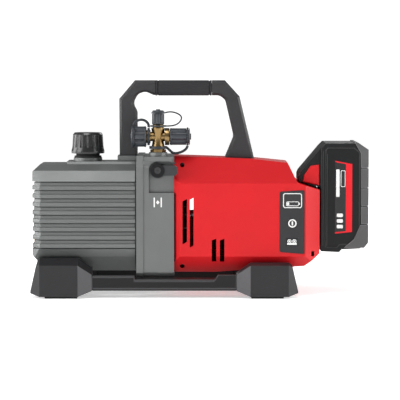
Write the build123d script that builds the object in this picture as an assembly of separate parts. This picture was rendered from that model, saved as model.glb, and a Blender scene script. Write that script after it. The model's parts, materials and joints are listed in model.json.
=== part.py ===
from build123d import *
import math
import os

# Millimetres. +X points to the battery, -Y is the control side, +Z is up.
# The origin is under the middle of the pump, on the floor.

# Overall size
LENGTH = 418
WIDTH = 156
HEIGHT = 267

# Main line of the machine along X
END = LENGTH / 2
RESERVOIR_LEFT = -207
RESERVOIR_RIGHT = -80
PUMP_LEFT = -78.5
PUMP_WALL = -70
PUMP_RIGHT = -32
MOTOR_RIGHT = 148
PACK_LEFT = 150

# Heights
SHAFT_Z = 98
BODY_TOP = 173
PLATEAU_TOP = 166
BODY_BOTTOM = 30
PACK_BOTTOM = 54
PACK_TOP = 189.5
PAD_HEIGHT = 2.5

# Walls and fits
CAST_WALL = 5
RESERVOIR_WALL = 7
PLASTIC_WALL = 3
RUNNING = 0.06
SNUG = 0.05
LOOSE = 0.4

# Isolation valve and intake manifold
VALVE_X = -52
VALVE_Z = 157
INLET_Y = -32
PORT_Z = 197.5

# Sections across the machine, as (Y, Z) outlines
RESERVOIR_SECTION = [
    (-60.5, 61), (-60.5, 143.5), (-52, 156), (-28, 163), (28, 163), (52, 156),
    (60.5, 143.5), (60.5, 61), (54, 50), (37, 31), (-37, 31), (-54, 50),
]
PUMP_SECTION = [
    (-60, 31), (-60, 161), (-48, BODY_TOP), (48, BODY_TOP), (60, 161), (60, 31), (55, 26), (-55, 26),
]
MOTOR_SECTION = [
    (-64, 51), (-64, 141), (-24, BODY_TOP), (24, BODY_TOP), (64, 141), (64, 51),
    (43, BODY_BOTTOM), (-43, BODY_BOTTOM),
]
# Side view of the motor housing, as an (X, Z) outline
MOTOR_SIDE = [
    (PUMP_RIGHT, BODY_BOTTOM), (PUMP_RIGHT, BODY_TOP), (66, 169.5), (109, 165), (120, 141.5),
    (MOTOR_RIGHT, 132), (MOTOR_RIGHT, 53), (129, 38), (20, BODY_BOTTOM),
]
# Plan of the motor housing, as an (X, Y) outline
MOTOR_PLAN = [
    (PUMP_RIGHT, -56), (-25, -64), (130, -64), (MOTOR_RIGHT, -47),
    (MOTOR_RIGHT, 47), (130, 64), (-25, 64), (PUMP_RIGHT, 56),
]

# Reach of cuts that run past the whole body
ACROSS = (-70, 70)
UPRIGHT = (20, 180)

DIRECTIONS = {"X": (1, 0, 0), "Y": (0, 1, 0), "Z": (0, 0, 1)}
AXIS_OF = {"X": Axis.X, "Y": Axis.Y, "Z": Axis.Z}


def plane_at(axis, position):
    """Plane across an axis; its own x and y are the two other axes in X, Y, Z order."""
    if axis == "X":
        return Plane(origin=(position, 0, 0), x_dir=(0, 1, 0), z_dir=(1, 0, 0))
    if axis == "Y":
        return Plane(origin=(0, position, 0), x_dir=(1, 0, 0), z_dir=(0, -1, 0))
    return Plane(origin=(0, 0, position), x_dir=(1, 0, 0), z_dir=(0, 0, 1))


def prism(axis, points, start, end, rounding=0, grow=0):
    """Straight prism of an outline, with rounded corners or grown sideways."""
    line = FilletPolyline(*points, radius=rounding, close=True) if rounding else Polyline(*points, close=True)
    face = make_face(line)
    if grow:
        face = offset(face, grow, kind=Kind.INTERSECTION)
    return extrude(plane_at(axis, start) * face, end - start, dir=DIRECTIONS[axis])


def rod(axis, centre, radius, start, end):
    """Round bar along an axis; centre is given in the two other axes."""
    disc = Pos(centre[0], centre[1]) * Circle(radius)
    return extrude(plane_at(axis, start) * disc, end - start, dir=DIRECTIONS[axis])


def ring(axis, centre, outer, inner, start, end):
    """Round tube along an axis."""
    return rod(axis, centre, outer, start, end) - rod(axis, centre, inner, start, end)


def bar(x, y, z):
    """Rectangular block from three (low, high) pairs."""
    size = [high - low for low, high in (x, y, z)]
    middle = [(high + low) / 2 for low, high in (x, y, z)]
    return Pos(*middle) * Box(*size)


def hexagon(axis, centre, across_flats, start, end):
    """Hexagonal bar along an axis."""
    face = Pos(centre[0], centre[1]) * RegularPolygon(across_flats / math.sqrt(3), 6)
    return extrude(plane_at(axis, start) * face, end - start, dir=DIRECTIONS[axis])


def around(radius, count, centre=(0, 0), start_angle=0):
    """Points evenly spaced on a circle."""
    step = 2 * math.pi / count
    angles = [math.radians(start_angle) + step * i for i in range(count)]
    return [(centre[0] + radius * math.cos(a), centre[1] + radius * math.sin(a)) for a in angles]


def socket_screw(axis, centre, radius, seat, tip):
    """Cap screw whose head starts at seat and whose shank ends at tip."""
    away = 1 if seat > tip else -1
    head = rod(axis, centre, radius * 1.7, *sorted((seat, seat + away * radius * 1.8)))
    shank = rod(axis, centre, radius, *sorted((seat, tip)))
    key = hexagon(axis, centre, radius * 1.6, *sorted((seat + away * radius * 0.8, seat + away * radius * 2)))
    return head + shank - key


def save(name, shape):
    solids = shape.solids()
    whole = solids[0] if len(solids) == 1 else Compound(children=list(solids))
    export_step(whole, f"parts/{name}.step")


def group(shapes):
    """Separate solids kept together as one piece."""
    return Compound(children=[solid for shape in shapes for solid in shape.solids()])


# ---------------------------------------------------------------- oil reservoir

FIN_COUNT = 8
FIN_PITCH = 10.2
FIN_BOTTOM = 61.5
GROOVE = {"height": 1.6, "depth": 3.6}
STEP = {"height": 4.2, "depth": 2.1}
CORNER = 9.5
RESERVOIR_HALF = 60.5
RESERVOIR_SIDE = [
    (RESERVOIR_LEFT, 52), (RESERVOIR_LEFT, 155), (RESERVOIR_LEFT + 9, 164), (RESERVOIR_RIGHT, 164),
    (RESERVOIR_RIGHT, 30), (RESERVOIR_LEFT + 17, 30),
]
OIL_NECK = (-141, 0)
RESERVOIR_BOLTS = [(-46, 150), (46, 150), (-51, 60), (51, 60), (0, 36)]
SIGHT = (0, 94)
LAMP_Z = (119, 127)
DRAIN = (0, 61.9)
HANDLE_BOLTS_LEFT = [(-91, -9), (-91, 9)]
HANDLE_BOLTS_RIGHT = [(50, -9), (50, 9)]


def reservoir_plan(right):
    """Outline seen from above, with its two slanted corners at the left end."""
    near, side = RESERVOIR_LEFT + CORNER, RESERVOIR_HALF
    return [
        (RESERVOIR_LEFT, CORNER - side), (near, -side), (right, -side),
        (right, side), (near, side), (RESERVOIR_LEFT, side - CORNER),
    ]


def wrap_cut(bottom, height, depth):
    """Shallow cut that runs round the reservoir's sides and left end."""
    slab = bar((RESERVOIR_LEFT - 5, RESERVOIR_RIGHT + 1), ACROSS, (bottom, bottom + height))
    return slab - prism("Z", reservoir_plan(RESERVOIR_RIGHT + 20), bottom, bottom + height, grow=-depth)


def corner_posts():
    """What the cavity leaves standing behind the slanted corners and the low left edge."""
    inside = prism("Z", reservoir_plan(RESERVOIR_RIGHT), *UPRIGHT, grow=-RESERVOIR_WALL)
    posts = bar((-201, -188), ACROSS, UPRIGHT) - inside
    return posts + prism("Y", [(-201, 20), (-201, 58), (-182, 38), (-182, 20)], *ACROSS)


def oil_reservoir():
    """Finned casting, open towards the pump, with its oil neck, sight hole and drain."""
    body = prism("X", RESERVOIR_SECTION, RESERVOIR_LEFT, RESERVOIR_RIGHT)
    body &= prism("Z", reservoir_plan(RESERVOIR_RIGHT), *UPRIGHT)
    body &= prism("Y", RESERVOIR_SIDE, *ACROSS)
    for i in range(FIN_COUNT + 1):
        body -= wrap_cut(FIN_BOTTOM + i * FIN_PITCH - GROOVE["height"], **GROOVE)
    for i in range(FIN_COUNT):
        top = FIN_BOTTOM + (i + 1) * FIN_PITCH - GROOVE["height"]
        body -= wrap_cut(top - STEP["height"], **STEP)
    ridge = [(-30, 160), (-25, PLATEAU_TOP), (25, PLATEAU_TOP), (30, 160)]
    plateau = prism("X", ridge, -166, RESERVOIR_RIGHT)
    collar = rod("Z", OIL_NECK, 18, 160, 170)
    neck = rod("Z", OIL_NECK, 13, 160, 187)
    foot_pad = bar((-103, RESERVOIR_RIGHT), (-19, 19), (160, BODY_TOP))
    body += plateau + collar + neck + foot_pad
    body += rod("X", SIGHT, 21, -208, -200) + rod("X", DRAIN, 9.5, RESERVOIR_LEFT, -185)
    inner_left = RESERVOIR_LEFT + RESERVOIR_WALL
    cavity = prism("X", RESERVOIR_SECTION, inner_left, RESERVOIR_RIGHT, grow=-RESERVOIR_WALL)
    cavity -= corner_posts()
    body -= cavity
    for centre in RESERVOIR_BOLTS:
        body += rod("X", centre, 6.5, -100, RESERVOIR_RIGHT)
    body -= rod("Z", OIL_NECK, 10, 150, 190)
    body -= rod("X", SIGHT, 13, -210, -190)
    body -= rod("X", SIGHT, 17, -210, -203)
    body -= bar((-210, -203.9), (-14.1, 14.1), (LAMP_Z[0] - 0.1, LAMP_Z[1] + 0.1))
    body -= rod("X", DRAIN, 5, -210, -180)
    for centre in RESERVOIR_BOLTS:
        body -= rod("X", centre, 2.6, -98, RESERVOIR_RIGHT)
    for centre in HANDLE_BOLTS_LEFT:
        body -= rod("Z", centre, 2.6, 150, 175)
    return body


def reservoir_gasket():
    plate = prism("X", RESERVOIR_SECTION, RESERVOIR_RIGHT, PUMP_LEFT, grow=-0.5)
    plate -= prism("X", RESERVOIR_SECTION, RESERVOIR_RIGHT, PUMP_LEFT, grow=-13)
    for centre in RESERVOIR_BOLTS:
        plate -= rod("X", centre, 3, RESERVOIR_RIGHT, PUMP_LEFT)
    return plate


def reservoir_bolts():
    return group([socket_screw("X", centre, 2.5, PUMP_WALL, -96) for centre in RESERVOIR_BOLTS])


def sight_glass():
    return rod("X", SIGHT, 16.9, -206.5, -203) - rod("X", SIGHT, 8, -203.8, -203)


def sight_bezel():
    return ring("X", SIGHT, 16.9, 12.5, -208.6, -206.5)


def sight_lamp():
    body = bar((-208.5, -203.9), (-14, 14), LAMP_Z)
    return chamfer(body.faces().sort_by(Axis.X)[0].edges(), 1.2)


def drain_plug():
    head = hexagon("X", DRAIN, 13, -208.8, -207)
    return head + rod("X", DRAIN, 4.95, -207, -196)


def demister():
    """Foam sleeve in the neck that catches oil mist."""
    return ring("Z", OIL_NECK, 9.9, 4, 160, 184)


CAP_SEAT = 175.5


def oil_cap():
    """Fluted screw cap with a skirt."""
    profile = [
        (0, CAP_SEAT), (20.8, CAP_SEAT), (20.8, CAP_SEAT + 3), (19.6, CAP_SEAT + 7.5),
        (18.6, CAP_SEAT + 23.5), (16.8, CAP_SEAT + 26), (0, CAP_SEAT + 26),
    ]
    cap = revolve(Plane.XZ * make_face(Polyline(*profile, close=True)), Axis.Z)
    cap = Pos(OIL_NECK[0], OIL_NECK[1], 0) * cap
    cap -= rod("Z", OIL_NECK, 13 + LOOSE, CAP_SEAT - 1, CAP_SEAT + 14)
    for x, y in around(20.4, 16, OIL_NECK):
        cap -= rod("Z", (x, y), 2, CAP_SEAT + 7.5, CAP_SEAT + 23)
    return cap


def oil_cap_gasket():
    seat = ring("Z", OIL_NECK, 17, 13 + LOOSE, 170.1, 172.3)
    return seat + ring("Z", OIL_NECK, 14.9, 13 + LOOSE, 172.3, CAP_SEAT - 0.1)


# ---------------------------------------------------------------- pump housing and stages

STAGE_RADIUS = 46
BORE_RADIUS = 30
ROTOR_RADIUS = 26
SHAFT_RADIUS = 6
AXLE = (0, SHAFT_Z)
BORE_CENTRE = (0, SHAFT_Z + BORE_RADIUS - ROTOR_RADIUS - 0.3)
STAGE_ONE = (-113.5, PUMP_LEFT)
MIDDLE_PLATE = (-121.5, -113.5)
STAGE_TWO = (-139.5, -121.5)
END_COVER = (-147.5, -139.5)
STAGE_BOLTS = around(40, 4, AXLE, 45)
SEAL_RADIUS = 14
POCKET = {"left": VALVE_X - 11, "bottom": 129, "top": 168, "corner": 11}
POCKET_FLOOR = -55.5
VALVE_BORE = 8


def lever_pocket():
    """Quarter-round recess in which the lever swings."""
    left, corner = POCKET["left"], POCKET["corner"]
    shoulder = POCKET["top"] - corner
    pocket = bar((left, PUMP_RIGHT), (-61, POCKET_FLOOR), (POCKET["bottom"], shoulder))
    pocket += bar((left + corner, PUMP_RIGHT), (-61, POCKET_FLOOR), (shoulder, POCKET["top"]))
    return pocket + rod("Y", (left + corner, shoulder), corner, -61, POCKET_FLOOR)


def pump_housing():
    body = prism("X", PUMP_SECTION, PUMP_WALL, PUMP_RIGHT)
    body += prism("X", PUMP_SECTION, PUMP_LEFT, PUMP_WALL, grow=1.2)
    body -= prism("X", PUMP_SECTION, PUMP_WALL, PUMP_RIGHT, grow=-CAST_WALL)
    valve_block = bar((PUMP_WALL, -36), (-58, -20), (126, 168))
    boss = rod("Z", (VALVE_X, INLET_Y), 11.5, 160, 178)
    body += valve_block + boss
    body -= lever_pocket()
    body -= rod("Y", (VALVE_X, VALVE_Z), VALVE_BORE, -61, -22)
    body -= rod("Z", (VALVE_X, INLET_Y), 4.5, VALVE_Z, 179)
    body -= rod("X", (INLET_Y, VALVE_Z), 4, PUMP_LEFT, VALVE_X)
    body -= rod("X", AXLE, SEAL_RADIUS, PUMP_LEFT, PUMP_WALL)
    for centre in RESERVOIR_BOLTS:
        body -= rod("X", centre, 2.6, PUMP_LEFT, PUMP_WALL)
        body -= rod("X", centre, 4.6, PUMP_WALL, PUMP_WALL + 10)
    for centre in STAGE_BOLTS:
        body -= rod("X", centre, 3.05, PUMP_LEFT, PUMP_WALL)
    return body


def shaft_seal():
    return ring("X", AXLE, SEAL_RADIUS - SNUG, SHAFT_RADIUS + RUNNING, -78, PUMP_WALL)


def stage_plate(span, hole):
    plate = ring("X", AXLE, STAGE_RADIUS, hole, *span)
    for centre in STAGE_BOLTS:
        plate -= rod("X", centre, 3.1, *span)
    return plate


def stator(span):
    """Pump cylinder with an eccentric bore."""
    block = rod("X", AXLE, STAGE_RADIUS, *span) - rod("X", BORE_CENTRE, BORE_RADIUS, *span)
    for centre in STAGE_BOLTS:
        block -= rod("X", centre, 3.1, *span)
    return block


def stator_stage_two():
    block = stator(STAGE_TWO)
    return block - bar(STAGE_TWO, (-20, 20), (141, 150)) - rod("Z", (-130, 0), 3, 125, 145)


def exhaust_valve():
    return bar((-137, -124), (-7, 7), (141, 143))


def pump_end_cover():
    return stage_plate(END_COVER, SHAFT_RADIUS + RUNNING) + rod("X", AXLE, STAGE_RADIUS / 4, -150, -147.5)


def vane_slot(span, clearance):
    low, high = span
    slots = [bar((low, high), (11 + clearance, 27), (SHAFT_Z - 2, SHAFT_Z + 2))]
    slots.append(bar((low, high), (-27, -11 - clearance), (SHAFT_Z - 2, SHAFT_Z + 2)))
    return slots


def rotor(span):
    low, high = span[0] + 0.1, span[1] - 0.1
    body = ring("X", AXLE, ROTOR_RADIUS, SHAFT_RADIUS + 0.02, low, high)
    for slot in vane_slot(span, 0):
        body -= slot
    return body


def vanes():
    """Sliding vanes, shown pushed back into their slots."""
    plates = []
    for low, high in (STAGE_ONE, STAGE_TWO):
        for near, far in ((11.5, 25.6), (-25.6, -11.5)):
            plates.append(bar((low + 0.3, high - 0.3), (near, far), (SHAFT_Z - 1.9, SHAFT_Z + 1.9)))
    return group(plates)


def pump_bolts():
    return group([socket_screw("X", centre, 3, -147.5, -71) for centre in STAGE_BOLTS])


# ---------------------------------------------------------------- isolation valve

def valve_spindle():
    """Round plug with an elbow passage and a square end for the lever."""
    pivot = (VALVE_X, VALVE_Z)
    plug = rod("Y", pivot, VALVE_BORE - RUNNING, -56, -23)
    plug -= rod("Z", (VALVE_X, INLET_Y), 4, VALVE_Z, VALVE_Z + 10)
    plug -= rod("X", (INLET_Y, VALVE_Z), 4, VALVE_X - 10, VALVE_X)
    stem = bar((VALVE_X - 3, VALVE_X + 3), (-60, -56), (VALVE_Z - 3, VALVE_Z + 3))
    return plug + stem


def valve_lever():
    """Flat grip on a round hub, with a thin flange behind and a narrow lip over the grip."""
    hub = rod("Y", (VALVE_X, VALVE_Z), 8.6, -65.5, -56)
    outline = [
        (VALVE_X, VALVE_Z - 6.3), (VALVE_X + 21.5, VALVE_Z - 6.3), (VALVE_X + 24, VALVE_Z - 3.8),
        (VALVE_X + 24, VALVE_Z + 3.8), (VALVE_X + 21.5, VALVE_Z + 6.3), (VALVE_X, VALVE_Z + 6.3),
    ]
    grip = prism("Y", outline, -64.5, -58.4, rounding=1)
    flange = rod("Y", (VALVE_X, VALVE_Z), 9.8, -58.7, -56)
    flange += bar((VALVE_X, VALVE_X + 22), (-60.5, -58.4), (VALVE_Z + 8, VALVE_Z + 9.6))
    lever = hub + grip + flange
    lever -= bar((VALVE_X - 3.05, VALVE_X + 3.05), (-60, -55), (VALVE_Z - 3.05, VALVE_Z + 3.05))
    lever -= rod("Y", (VALVE_X, VALVE_Z), 2, -65.5, -60)
    lever -= rod("Y", (VALVE_X, VALVE_Z), 4.2, -65.5, -63.5)
    return lever


def lever_screw():
    pivot = (VALVE_X, VALVE_Z)
    head = rod("Y", pivot, 4, -65.2, -63.5) - hexagon("Y", pivot, 3, -65.2, -64.2)
    return head + rod("Y", pivot, 1.9, -63.5, -60.05)


# ---------------------------------------------------------------- intake manifold and port caps

MANIFOLD = (VALVE_X, INLET_Y)
PORT_AXIS = (INLET_Y, PORT_Z)
LEFT_PORT = {"tip": -80, "radius": 7.9, "bore": 5}
RIGHT_PORT = {"tip": -18, "radius": 6.3, "bore": 4}
TOP_PORT = {"tip": 225, "radius": 5.5, "bore": 2.6}


def intake_manifold():
    """Forged brass cross: hexagonal foot, waisted body and three ports."""
    foot = hexagon("Z", MANIFOLD, 17, 178, 181.5)
    spigot = rod("Z", MANIFOLD, 4.4, 168, 178)
    stem = rod("Z", MANIFOLD, 7, 181.5, 212)
    spool = [(0, 182), (8.6, 182), (6.7, 193), (6.7, 197), (8.6, 208), (0, 208)]
    stem += Pos(VALVE_X, INLET_Y, 0) * revolve(Plane.XZ * make_face(Polyline(*spool, close=True)), Axis.Z)
    block = rod("X", PORT_AXIS, 5.8, -61.5, -43)
    shoulders = rod("X", PORT_AXIS, 8.4, -66, -61.5) + rod("X", PORT_AXIS, 10.6, -43.5, -38)
    left = rod("X", PORT_AXIS, LEFT_PORT["radius"], LEFT_PORT["tip"], -61.5)
    right = rod("X", PORT_AXIS, RIGHT_PORT["radius"], -38, RIGHT_PORT["tip"])
    top = rod("Z", MANIFOLD, TOP_PORT["radius"], 211, TOP_PORT["tip"])
    body = foot + spigot + stem + block + shoulders + left + right + top
    body = chamfer(body.faces().sort_by(Axis.X)[0].edges().filter_by(GeomType.CIRCLE), 1.5)
    body -= rod("X", PORT_AXIS, LEFT_PORT["bore"], LEFT_PORT["tip"], VALVE_X)
    body -= rod("X", PORT_AXIS, RIGHT_PORT["bore"], VALVE_X, RIGHT_PORT["tip"])
    body -= rod("Z", MANIFOLD, TOP_PORT["bore"], PORT_Z, TOP_PORT["tip"])
    body -= rod("Z", MANIFOLD, 3.4, 168, PORT_Z)
    return body


def screw_cap(axis, centre, outer, mouth, floor, end, ribs, bore):
    """Lobed cap with a neck near its closed end, where the strap's ring turns."""
    way = 1 if end > mouth else -1
    neck = (end - way * 4.4, end - way * 1.6)
    cap = rod(axis, centre, outer, *sorted((mouth, end)))
    cap -= ring(axis, centre, outer + 1, outer - 2.2, *sorted(neck))
    cap -= rod(axis, centre, bore, *sorted((mouth, floor)))
    ends = cap.faces().filter_by(GeomType.PLANE).sort_by(AXIS_OF[axis])
    tip, rim = (ends[-1], ends[0]) if way > 0 else (ends[0], ends[-1])
    cap = chamfer([tip.outer_wire().edge(), rim.outer_wire().edge()], 1.3)
    cap += rod(axis, centre, outer * 0.35, *sorted((end, end + way * 1.4)))
    lobe = outer * 2.4 / ribs
    for point in around(outer + 0.45 * lobe, ribs, centre, 180 / ribs):
        cap -= rod(axis, point, lobe, *sorted((mouth + way * 2, end - way * 4.4)))
    return cap


def strap_ring(outer, end, way, axis, centre):
    """Ring of the retaining strap in the cap's neck."""
    low, high = sorted((end - way * 4.05, end - way * 1.95))
    return ring(axis, centre, outer + 0.6, outer - 1.8, low, high)


LEFT_CAP = dict(axis="X", centre=PORT_AXIS, outer=13.2, mouth=-66.6, floor=-80.8, end=-85, ribs=6)
RIGHT_CAP = dict(axis="X", centre=PORT_AXIS, outer=10.8, mouth=-37.5, floor=-17.2, end=-12.5, ribs=6)
TOP_CAP = dict(axis="Z", centre=MANIFOLD, outer=7.7, mouth=212.2, floor=225.4, end=230, ribs=8)
CAPS = {"left": (LEFT_CAP, LEFT_PORT), "right": (RIGHT_CAP, RIGHT_PORT), "top": (TOP_CAP, TOP_PORT)}
STRAP_RADIUS = 0.9
BAND_RADIUS = 1.6


def cap_ring(cap):
    way = 1 if cap["end"] > cap["mouth"] else -1
    return strap_ring(cap["outer"], cap["end"], way, cap["axis"], cap["centre"])


def strap(points, radius):
    """Moulded strap along a smooth curve."""
    path = Spline(*points)
    profile = Plane(origin=path @ 0, z_dir=path % 0) * Circle(radius)
    return sweep(profile, path)


def left_strap():
    route = [
        (-82, INLET_Y, PORT_Z + 14.1), (-81, INLET_Y, PORT_Z + 17.2), (-76.5, INLET_Y, PORT_Z + 20.2),
        (-70.5, INLET_Y, PORT_Z + 20.6), (-65.3, INLET_Y, PORT_Z + 17.3), (-63.8, INLET_Y, PORT_Z + 11.5),
    ]
    anchor = ring("X", PORT_AXIS, 10.8, 8.45, -65.2, -62.4)
    return strap(route, BAND_RADIUS) + anchor


def top_strap():
    route = [
        (VALVE_X + 8.6, INLET_Y, 227), (VALVE_X + 13, INLET_Y, 228), (VALVE_X + 20, INLET_Y, 227.5),
        (VALVE_X + 29, INLET_Y, 221),
        (VALVE_X + 25, INLET_Y, 214), (VALVE_X + 15, INLET_Y, 210.8), (VALVE_X + 9.6, INLET_Y, 210.6),
    ]
    anchor = ring("Z", MANIFOLD, 9.8, 7.05, 209.6, 211.6)
    return strap(route, STRAP_RADIUS) + anchor


def right_strap():
    route = [
        (-15.5, INLET_Y, PORT_Z - 11.7), (-16.8, INLET_Y, PORT_Z - 14.6), (-20.5, INLET_Y, PORT_Z - 17.8),
        (-27, INLET_Y, PORT_Z - 20.3),
        (-33, INLET_Y, PORT_Z - 20.4), (-37.4, INLET_Y, PORT_Z - 17.2), (-42, INLET_Y, 184.2),
    ]
    anchor = ring("Z", MANIFOLD, 11, 8.75, 182.4, 185.6)
    return strap(route, BAND_RADIUS) + anchor


# ---------------------------------------------------------------- motor

MOTOR_FRONT = (2, 10)
MOTOR_BACK = (80, 88)
BRACKET_RADIUS = 48
CAN_RADIUS = 44
BEARING_RADIUS = 13


def pump_shaft():
    return rod("X", AXLE, SHAFT_RADIUS, -147, -52.2)


def motor_shaft():
    return rod("X", AXLE, SHAFT_RADIUS, -44.8, 92)


def coupling_hub(start, end):
    return ring("X", AXLE, 16, SHAFT_RADIUS + 0.02, start, end)


def coupling_spider():
    disc = rod("X", AXLE, 15.5, -51.9, -45.1)
    for point in around(15.5, 6, AXLE):
        disc -= rod("X", point, 3.2, -51.9, -45.1)
    return disc


def cooling_fan():
    hub, back = (-31, -14), (-16, -14)
    fan = rod("X", AXLE, 50, *back) + rod("X", AXLE, 14, *hub)
    for i in range(11):
        blade = bar((-28, -16), (12, 48), (SHAFT_Z - 0.9, SHAFT_Z + 0.9))
        fan += blade.rotate(Axis((0, 0, SHAFT_Z), (1, 0, 0)), i * 360 / 11)
    return fan - rod("X", AXLE, SHAFT_RADIUS + 0.02, *hub)


def motor_bracket(span):
    plate = ring("X", AXLE, BRACKET_RADIUS, BEARING_RADIUS + SNUG, *span)
    for point in around(28, 6, AXLE):
        plate -= rod("X", point, 7, *span)
    return plate


def motor_bearings():
    return group([
        ring("X", AXLE, BEARING_RADIUS, SHAFT_RADIUS + RUNNING, *span) for span in (MOTOR_FRONT, MOTOR_BACK)
    ])


def motor_can():
    return ring("X", AXLE, CAN_RADIUS, 42 + SNUG, MOTOR_FRONT[1], MOTOR_BACK[0])


def motor_windings():
    front = ring("X", AXLE, 39, 27, MOTOR_FRONT[1] + 0.5, 18)
    return group([front, ring("X", AXLE, 39, 27, 66, 74)])


def motor_stator():
    core = ring("X", AXLE, 42, 24.7, 18, 66)
    for point in around(31, 9, AXLE):
        core -= rod("X", point, 4, 18, 66)
    return core


def motor_rotor():
    return ring("X", AXLE, 24, SHAFT_RADIUS + 0.02, 16, 68)


# ---------------------------------------------------------------- motor housing and controls

PANEL_CORNERS = [(98, 56.5), (98, 131), (128.5, 133), (128.5, 54)]
POWER_BUTTON = (113.5, 92)
LAMP_BUTTON = (113, 69)
SCREEN = (113.6, 120)
FRONT_SCREWS = [(-22, 162.4), (-22, 37.8)]
REAR_SCREWS = [(91, 154), (95, 43), (136, 63)]
FRONT_VENTS = [
    [(-21.5, 66), (-21.5, 119), (-16, 122), (-16, 69)],
    [(-12.5, 62), (-12.5, 121), (-8, 123.5), (-8, 64.5)],
    [(14.5, 44), (14.5, 71), (20, 73), (20, 44)],
    [(24.5, 44), (24.5, 71), (30, 73), (30, 44)],
]
REAR_VENTS = [[(-15, 98), (-15, 124), (-6, 124), (-6, 98)]]


def housing_block(grow):
    """Solid bounded by the three outlines of the motor housing, grown or shrunk."""
    across = prism("X", MOTOR_SECTION, PUMP_RIGHT, MOTOR_RIGHT, grow=grow)
    side = prism("Y", MOTOR_SIDE, *ACROSS, grow=grow)
    plan = prism("Z", MOTOR_PLAN, *UPRIGHT, grow=grow)
    return across & side & plan


def motor_housing():
    shell = housing_block(0) - housing_block(-PLASTIC_WALL)
    shell -= rod("X", AXLE, 24, PUMP_RIGHT, PUMP_RIGHT + 2 * PLASTIC_WALL)
    rib_block = housing_block(-2)
    for low, high in ((3, 9), (81, 87)):
        rib = rib_block & bar((low, high), ACROSS, UPRIGHT)
        shell += rib - rod("X", AXLE, BRACKET_RADIUS + SNUG, low, high)
    for centre in FRONT_SCREWS + REAR_SCREWS:
        shell += rib_block & rod("Y", centre, 4.4, *ACROSS)
    return shell


def housing_half(shell, side):
    """Front (-1) or rear (+1) half of the clamshell, with its vents and screw holes."""
    low, high = sorted((0, side * 70))
    half = shell & bar((-40, 160), (low, high), (20, 180))
    for outline in FRONT_VENTS if side < 0 else REAR_VENTS:
        half -= prism("Y", outline, *sorted((side * 45, side * 70)))
    near, far = (FRONT_SCREWS, REAR_SCREWS) if side < 0 else (REAR_SCREWS, FRONT_SCREWS)
    for centre in near:
        half -= rod("Y", centre, 1.8, *sorted((0, side * 70)))
        half -= rod("Y", centre, 2.9, *sorted((side * 16, side * 70)))
    for centre in far:
        half -= rod("Y", centre, 1.55, *sorted((0, side * 20)))
    half -= bar((MOTOR_RIGHT - 4, MOTOR_RIGHT + 1), sorted((0, side * 9)), (74, 126))
    half -= bar((MOTOR_RIGHT - 10.6, MOTOR_RIGHT - 7), sorted((side * 49, side * 70)), (50.6, 56.6))
    for centre in HANDLE_BOLTS_RIGHT:
        half -= rod("Z", centre, 2.6, 150, 175)
    return half


def housing_screws():
    front = [socket_screw("Y", centre, 1.5, -16, 18) for centre in FRONT_SCREWS]
    return group(front + [socket_screw("Y", centre, 1.5, 16, -18) for centre in REAR_SCREWS])


def control_panel():
    """Insert plate in the front half, with openings for the screen and buttons."""
    plate = prism("Y", PANEL_CORNERS, -64.6, -60, rounding=2, grow=-0.2)
    plate -= rod("Y", POWER_BUTTON, 5.3 + LOOSE, -65, -60)
    x, z = LAMP_BUTTON
    plate -= bar((x - 6.9, x + 6.9), (-65, -60), (z - 4.4, z + 4.4))
    x, z = SCREEN
    plate -= bar((x - 11, x + 11), (-65, -63.2), (z - 8.5, z + 8.5))
    return plate


def screen():
    x, z = SCREEN
    return bar((x - 10.9, x + 10.9), (-64.5, -63.2), (z - 8.4, z + 8.4))


def power_button():
    x, z = POWER_BUTTON
    return rod("Y", (x, z), 5.3, -65.4, -59.5) + rod("Y", (x, z), 7, -59.7, -58.5)


def lamp_button():
    x, z = LAMP_BUTTON
    top = bar((x - 6.5, x + 6.5), (-65.2, -59.5), (z - 4, z + 4))
    return top + bar((x - 8.5, x + 8.5), (-59.7, -58.5), (z - 6, z + 6))


def control_board():
    board = bar((95, 126), (-55.6, -54), (52, 133))
    switches = [bar((x - 3, x + 3), (-57.3, -55.6), (z - 3, z + 3)) for x, z in (POWER_BUTTON, LAMP_BUTTON)]
    return board + switches[0] + switches[1]


def motor_controller():
    return bar((98, 130), (-25, 25), (56, 112)) + bar((99, 129), (-30, 30), (50, 56))


# ---------------------------------------------------------------- battery

RAIL_Z = (62, 128)
PACK_HALF = 40
PACK_RIGHT = 204
BLADES = (-5, 0, 5)
PANEL_DEPTH = 0.9
LATCH = [(127, 141.5), (129, 150), (137, 161.5), (148, 163), (148, 137)]
# Joints between the guards, from the lowest up, and the guards' inner edge on the sides of the pack
GUARD_SPLITS = [59, 88.6, 111.3, 134, 158.7, 191]
GUARD_EDGE = [(178, 59), (191.3, 70.5), (200, 90), (199.4, 177), (191.3, PACK_TOP + 1.4)]


def battery_rail():
    """Two flanged tracks that the pack slides down on."""
    tracks = []
    for side in (-1, 1):
        web = bar((MOTOR_RIGHT, 156.5), sorted((side * 9.5, side * 12)), RAIL_Z)
        flange = bar((153.6, 156.5), sorted((side * 9.5, side * 14.5)), RAIL_Z)
        tracks.append(web + flange)
    plate = bar((MOTOR_RIGHT, 149.4), (-12, 12), (58, 62))
    return tracks[0] + tracks[1] + plate


def battery_terminals():
    block = bar((138.5, 144.8), (-12, 12), (70, 125))
    for y in BLADES:
        block += bar((144.8, 154), (y - 0.4, y + 0.4), (76, 123))
    return block


def pack_outline():
    """Side view of the pack's case, without its guards."""
    return [
        (PACK_LEFT, PACK_BOTTOM + 1), (PACK_LEFT, PACK_TOP - 6), (156, PACK_TOP), (193, PACK_TOP),
        (PACK_RIGHT - 1.5, 182), (PACK_RIGHT, 176), (PACK_RIGHT, 66), (PACK_RIGHT - 5, 58.5),
        (176, 57.5), (173, PACK_BOTTOM),
    ]


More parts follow.
